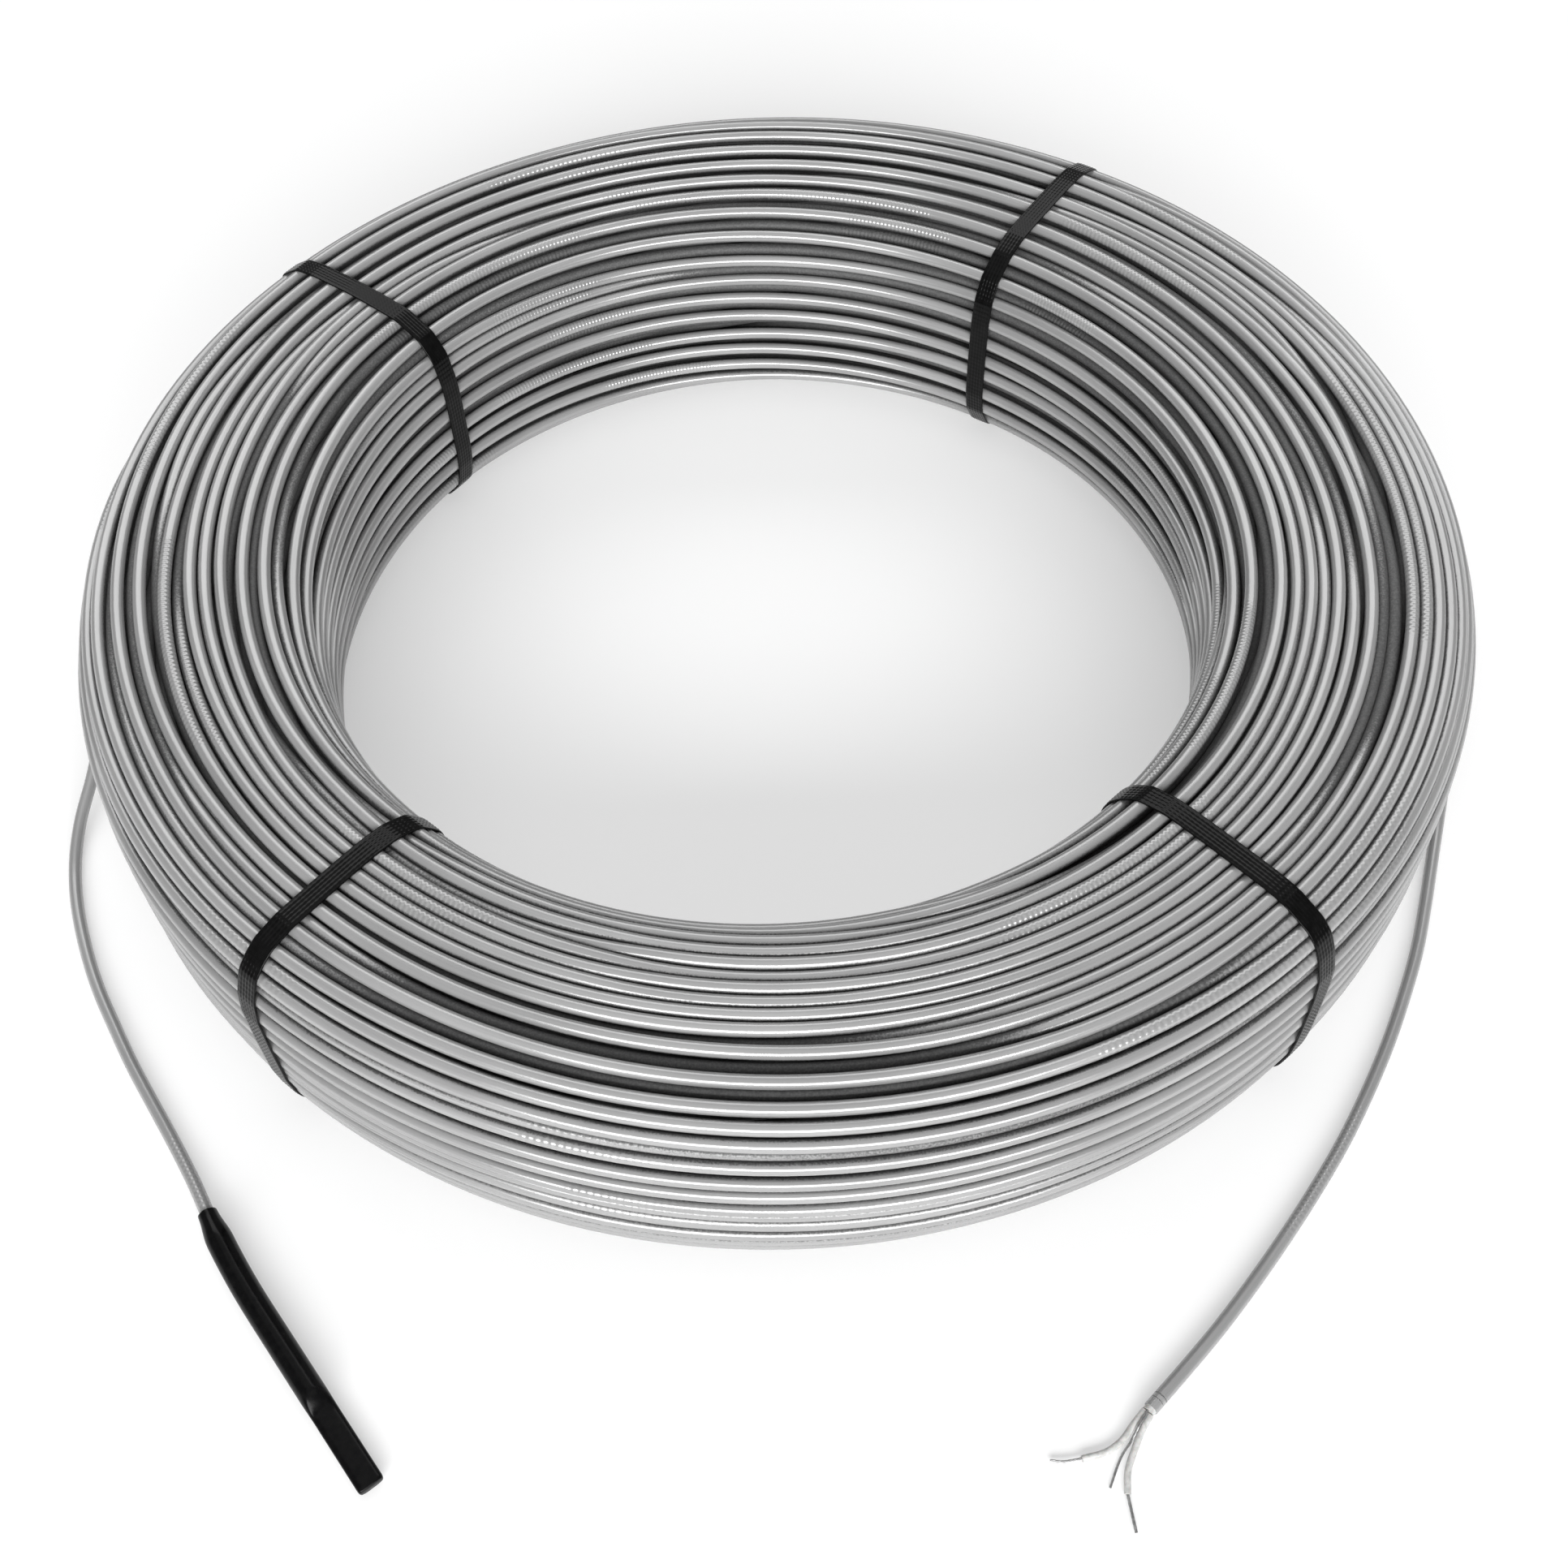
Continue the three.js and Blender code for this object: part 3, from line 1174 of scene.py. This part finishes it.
@dataclass
class EndSleeve:
    """The shrunk sleeve on the cable's end, round over the cable and pressed flat past it."""

    length: float = 0.118
    diameter: float = 0.0095
    mouth_diameter: float = 0.0069
    mouth_length: float = 0.013
    mouth_height: float = 0.0044
    flat_start: float = 0.08
    flat_ramp: float = 0.009
    tip_width: float = 0.0092
    tip_thickness: float = 0.0042
    tip_height: float = 0.0033
    tip_squareness: float = 0.55
    tip_round: float = 0.0015
    tip_inset: float = 0.16
    ramp_margin: float = 0.006
    bend_degrees: float = 7.5
    bend_length: float = 0.045
    gap: float = 0.0003
    floor_clearance: float = 0.0002
    cable_inside: float = 0.04
    sides: int = 48

    def line_inside(self, end: EndFrame) -> Array:
        """The middle line of the cable that runs on inside the sleeve."""
        steps = np.arange(0.003, self.cable_inside, 0.003)
        return np.array([self._placed(end, Vector((0, 0, step))) for step in steps])

    def build(self, end: EndFrame, finish: Material) -> Piece:
        """Makes the sleeve past a lead's end.

        Args:
            end: The lead's far end.
            finish: The sleeve's material.

        Returns:
            The piece.
        """
        profile = [(0.0, -0.0002), (0.72, 0.0), (0.93, 0.0), (0.985, 0.0002), (1.0, 0.0006)]
        flat_end = self.flat_start + self.flat_ramp + self.ramp_margin
        full = self.length - self.tip_round
        flat_from = self.flat_start - self.ramp_margin
        for finish_at, count in ((self.mouth_length, 12), (flat_from, 24), (flat_end, 36), (full, 10)):
            profile += [(1.0, station) for station in np.linspace(profile[-1][1], finish_at, count)[1:]]
        for angle in np.linspace(0, math.pi / 2, 6)[1:]:
            radius = 1 - self.tip_inset * (1 - math.cos(angle))
            profile.append((radius, full + self.tip_round * math.sin(angle)))
        profile.append((0.0, self.length))
        shape = bmesh.new()
        verts = [shape.verts.new((radius, 0, station)) for radius, station in profile]
        edges = [shape.edges.new(pair) for pair in zip(verts[:-1], verts[1:])]
        bmesh.ops.spin(shape, geom=verts + edges, cent=(0, 0, 0), axis=(0, 0, 1), angle=2 * math.pi,
                       steps=self.sides, use_merge=True, use_duplicate=False)
        bmesh.ops.remove_doubles(shape, verts=shape.verts, dist=WELD)
        for vertex in shape.verts:
            vertex.co = self._placed(end, vertex.co)
        bmesh.ops.recalc_face_normals(shape, faces=shape.faces)
        piece = add_object("shrunk_sleeve", mesh_from("shrunk_sleeve", shape))
        dress(piece, finish)
        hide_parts("end_sleeve")
        return piece

    def _placed(self, end: EndFrame, unit: Vector) -> Vector:
        """Lays a point of the unit body at its place.

        Args:
            end: The lead's far end.
            unit: Sideways and upwards as shares of the section, and the distance along.

        Returns:
            The place in space.
        """
        def between(first: float, second: float, share: float) -> float:
            """A value between two others."""
            return first + (second - first) * share

        distance = unit.z
        opened = eased(distance, 0, self.mouth_length)
        flat = eased(distance, self.flat_start, self.flat_start + self.flat_ramp)
        round_half = between(self.mouth_diameter, self.diameter, opened) / 2
        round_height = between(self.mouth_height, self.floor_clearance + self.diameter / 2, opened)
        half_width = between(round_half, self.tip_width / 2, flat)
        half_height = between(round_half, self.tip_thickness / 2, flat)
        middle = between(round_height, self.tip_height, flat)
        size = math.hypot(unit.x, unit.y)
        squareness = 1 + self.tip_squareness * flat
        sideways, upwards = unit.x, unit.y
        if size > WELD:
            cos, sin = unit.x / size, unit.y / size
            sideways = size * math.copysign(abs(cos) ** (1 / squareness), cos)
            upwards = size * math.copysign(abs(sin) ** (1 / squareness), sin)
        bend = math.radians(self.bend_degrees)
        bend_radius = self.bend_length / bend
        reach = distance + self.gap
        turned = min(reach, self.bend_length) / self.bend_length * bend
        straight = max(0.0, reach - self.bend_length)
        along = bend_radius * math.sin(turned) + straight * math.cos(turned)
        left = bend_radius * (1 - math.cos(turned)) + straight * math.sin(turned)
        along -= sideways * half_width * math.sin(turned)
        left += sideways * half_width * math.cos(turned)
        return end.beyond(along, left, middle + upwards * half_height)


@dataclass
class StrippedEnd:
    """The cores, their bare conductors and the drain wire past the cut jacket."""

    gap: float = 0.0003
    sheath_length: float = 0.0012
    sheath_diameter: float = 0.0042
    core_diameter: float = 0.0023
    conductor_diameter: float = 0.0011
    drain_diameter: float = 0.0009
    strands: int = 7
    strand_twist: float = 0.011

    def build(self, end: EndFrame, insulation: Material, wire: Material) -> list[Piece]:
        """Makes every piece past the jacket's end.

        Args:
            end: The lead's far end.
            insulation: The white finish.
            wire: The metal finish.

        Returns:
            The pieces.
        """
        start = self.sheath_length + 2 * self.gap
        pieces = [self._sheath(end, insulation)]
        for side, core_route, tip_route in (
            ("left", CORE_LEFT_ROUTE, CONDUCTOR_LEFT_ROUTE),
            ("right", CORE_RIGHT_ROUTE, CONDUCTOR_RIGHT_ROUTE),
        ):
            line = self._line(end, start, core_route)
            core = rods("insulated_core_" + side, [line], self.core_diameter, 16)
            dress(core, insulation)
            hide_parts("core_" + side)
            onwards = (line[-1] - line[-2]) / np.linalg.norm(line[-1] - line[-2])
            first = line[-1] - onwards * self.gap
            tip = self._line(end, start, tip_route)
            tip_line = smooth_path(np.vstack([first, tip[0], tip[-1]]), 0.0004)
            bare = self._strands("bare_conductor_" + side, tip_line, self.conductor_diameter)
            dress(bare, wire)
            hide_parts("conductor_" + side)
            pieces += [core, bare]
        drain_line = self._line(end, start, DRAIN_WIRE_ROUTE)
        drain = self._strands("bare_drain_wire", drain_line, self.drain_diameter)
        dress(drain, wire)
        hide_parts("drain_wire")
        return pieces + [drain]

    def _line(self, end: EndFrame, start: float, route: Route) -> Array:
        """A smooth line through a route past the end.

        Args:
            end: The lead's far end.
            start: Where the route starts past it, in metres.
            route: Millimetres along, to the left and above the floor for each point.

        Returns:
            Evenly spaced points.
        """
        points = [
            end.beyond(start + along * MILLIMETRE, left * MILLIMETRE, height * MILLIMETRE)
            for along, left, height in route
        ]
        return smooth_path(np.array(points), 0.0006)

    def _sheath(self, end: EndFrame, finish: Material) -> Piece:
        """Makes the white inner sheath that shows at the jacket's cut edge.

        Args:
            end: The lead's far end.
            finish: The white finish.

        Returns:
            The piece.
        """
        level = end.point.z
        line = np.array([end.beyond(along, 0, level) for along in (-self.gap, self.gap + self.sheath_length)])
        piece = rods("sheath_edge", [line], self.sheath_diameter, 24)
        dress(piece, finish)
        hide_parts("inner_sheath")
        return piece

    def _strands(self, name: str, line: Array, diameter: float) -> Piece:
        """Makes a stranded wire: thin wires laid in a slow twist round a middle one.

        Args:
            name: The piece's name.
            line: The wire's middle line.
            diameter: The whole wire's diameter.

        Returns:
            The piece.
        """
        thin = diameter / 3
        ahead = np.gradient(line, axis=0)
        ahead /= np.linalg.norm(ahead, axis=1)[:, None]
        side = np.cross(ahead, (0, 0, 1))
        side /= np.linalg.norm(side, axis=1)[:, None]
        up = np.cross(side, ahead)
        walked = np.linspace(0, path_length(line), len(line))
        runs = [line]
        around = self.strands - 1
        for index in range(around):
            phase = 2 * math.pi * (index / around + walked / self.strand_twist)
            runs.append(line + thin * (side * np.cos(phase)[:, None] + up * np.sin(phase)[:, None]))
        return rods(name, runs, thin, 8)


# The studio


@dataclass
class Studio:
    """Pale floor, soft light and the camera that sees the coil as the photograph does."""

    image_size: float = 1932.0
    focal_pixels: float = 2288.2
    camera_place: Triple = (0.0035, -0.5179, 0.6190)
    elevation: float = 0.93165
    roll: float = -0.03061
    sensor_width: float = 36.0
    surround: float = 0.22
    lights: tuple[tuple[str, Triple, tuple[float, float], float], ...] = (
        ("front", (0.0, -3.6, 1.8), (4.6, 1.7), 270.0),
        ("back", (0.0, 2.9, 2.9), (6.0, 1.8), 90.0),
        ("overhead", (0.0, 0.0, 2.5), (3.0, 3.0), 12.0),
    )

    def build(self) -> None:
        """Makes the camera, the floor and the lights."""
        self._camera()
        self._floor()
        self._lights()

    def _camera(self) -> None:
        """The camera, turned and zoomed as worked out from the coil's outline."""
        data = bpy.data.cameras.new("camera")
        data.sensor_width = self.sensor_width
        data.lens = self.focal_pixels / self.image_size * self.sensor_width
        data.clip_start = 0.01
        data.clip_end = 50
        camera = bpy.data.objects.new("camera", data)
        down = Matrix.Rotation(math.pi / 2 - self.elevation, 4, "X")
        rolled = Matrix.Rotation(self.roll, 4, "Z")
        camera.matrix_world = Matrix.Translation(self.camera_place) @ down @ rolled
        bpy.context.scene.collection.objects.link(camera)
        bpy.context.scene.camera = camera

    def _floor(self) -> None:
        """A wide pale floor under the coil."""
        shape = bmesh.new()
        bmesh.ops.create_grid(shape, x_segments=8, y_segments=8, size=6)
        floor = add_object("studio_floor", mesh_from("studio_floor", shape))
        floor.data.materials.append(FloorFinish().build())

    def _light(self, name: str, place: Triple, size: tuple[float, float], power: float) -> None:
        """A soft rectangular light that looks at the coil's middle.

        Args:
            name: The light's name.
            place: Where it stands.
            size: Its width and height.
            power: Its power in watts.
        """
        data = bpy.data.lights.new(name, "AREA")
        data.shape = "RECTANGLE"
        data.size, data.size_y = size
        data.energy = power
        light = bpy.data.objects.new(name, data)
        light.location = place
        light.rotation_mode = "QUATERNION"
        light.rotation_quaternion = (-Vector(place)).to_track_quat("-Z", "Y")
        bpy.context.scene.collection.objects.link(light)

    def _lights(self) -> None:
        """An even surround, a front light that draws a line on each turn, and softer lights."""
        world = bpy.data.worlds.new("studio")
        world.use_nodes = True
        background = world.node_tree.nodes["Background"]
        background.inputs["Color"].default_value = (1, 1, 1, 1)
        background.inputs["Strength"].default_value = self.surround
        bpy.context.scene.world = world
        for name, place, size, power in self.lights:
            self._light(name, place, size, power)
        bpy.context.scene.view_settings.view_transform = "Standard"
        bpy.context.scene.view_settings.look = "None"


# Routes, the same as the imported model's.
# A lead's point is an angle about the coil's axis in degrees, then millimetres from the winding's outer
# wall to the cable's middle and millimetres that the cable is raised.
SLEEVED_LEAD_ROUTE = (
    (174, 2.8, 26), (180, 2.8, 24.6), (185.6, 5.4, 18), (190.1, 11.4, 9), (193.8, 18.7, 2.6),
    (197.2, 22.7, 0.2), (201.3, 25, 0), (205.9, 26.4, 0), (209.5, 27.3, 0), (212.9, 27.9, 0),
    (216.6, 29.4, 0), (220.3, 31.3, 0), (222.7, 33.1, 0), (224.9, 35.4, 0.2), (227.3, 38.7, 0.9),
    (229.7, 43.2, 1.7),
)
STRIPPED_LEAD_ROUTE = (
    (6, 2.8, 26), (360, 2.8, 24.6), (354.4, 4.6, 17.5), (349.4, 6.9, 7.5), (345.2, 7.6, 1.6),
    (341.6, 7.1, 0), (337.7, 7.3, 0), (332.5, 9.6, 0), (328.7, 12.3, 0), (324.8, 15.1, 0),
    (319.2, 20.2, 0), (312.1, 28.2, 0), (306.9, 35, 0), (301.4, 43.8, 0), (296.5, 53.3, 0),
    (293.2, 60.3, 0), (290.2, 67.5, 0),
)
# A core's point is millimetres along the lead's end, to its left, and above the floor.
CORE_LEFT_ROUTE = (
    (0, 1.2, 2.7), (5, 2.1, 2.3), (10.8, 4, 1.6), (18.7, 7.1, 1.35), (24.7, 11.7, 1.35),
)
CORE_RIGHT_ROUTE = (
    (0, -1.2, 2.7), (6, -0.9, 2.2), (12.6, -0.4, 1.6), (18.8, -1.6, 1.35), (26.3, -5.9, 1.35),
)
CONDUCTOR_LEFT_ROUTE = ((27.4, 15.2, 1.35), (32, 21.1, 1.3))
CONDUCTOR_RIGHT_ROUTE = ((31, -9.4, 1.35), (34, -12.9, 1.2))
DRAIN_WIRE_ROUTE = (
    (0, 0, 4.1), (5, 0.6, 3.7), (8, 1.3, 2.5), (10.8, 1.9, 1.3), (16.6, 2.7, 0.7), (26.8, 6.3, 0.65),
)
STRAP_PLACES = (("back_right", 55.3), ("back_left", 141.5), ("front_left", 228.6), ("front_right", 312.2))


def main() -> None:
    """Builds the camera, the cords, the winding and its straps."""
    logging.basicConfig(level=logging.INFO, format="%(name)s %(message)s")
    Studio().build()
    winding = Winding()
    jacket = JacketFinish("grey_jacket", light=0.3, dark=0.2).build()
    # A darker copy of the jacket: painted shade on the buried turns and the winding's core.
    shaded = JacketFinish("shaded_jacket", light=0.12, dark=0.05, groove=0.008, roughness=0.4).build()
    insulation = InsulationFinish().build()

    sleeved = Lead("sleeved_end_lead", "sleeved_lead", SLEEVED_LEAD_ROUTE)
    line = sleeved.line(winding)
    sleeve = EndSleeve()
    end = EndFrame.of(line)
    sleeve_finish = BlackFinish("shrunk_sleeve", wear_scale=420.0, grain_scale=420.0, grain_detail=3.0,
                                grain_strength=0.6, roughness=0.16, colour=(0.002, 0.002, 0.0023)).build()
    piece = sleeve.build(end, sleeve_finish)
    sleeved.build(np.vstack([line, sleeve.line_inside(end)]), "fitting", [piece], jacket)

    stripped = Lead("stripped_end_lead", "stripped_lead", STRIPPED_LEAD_ROUTE)
    line = stripped.line(winding)
    tips = StrippedEnd().build(EndFrame.of(line), insulation, WireFinish().build())
    stripped.build(line, "bare", tips, jacket)

    winding.build(jacket, shaded)
    strap_finish = BlackFinish("embossed_strap", wear_scale=300.0, grain_scale=2600.0, grain_detail=2.0,
                               grain_strength=0.3, roughness=0.14, colour=(0.002, 0.002, 0.002)).build()
    for place, degrees in STRAP_PLACES:
        Strap(place, degrees).build(winding, strap_finish)


if __name__ == "__main__":
    main()
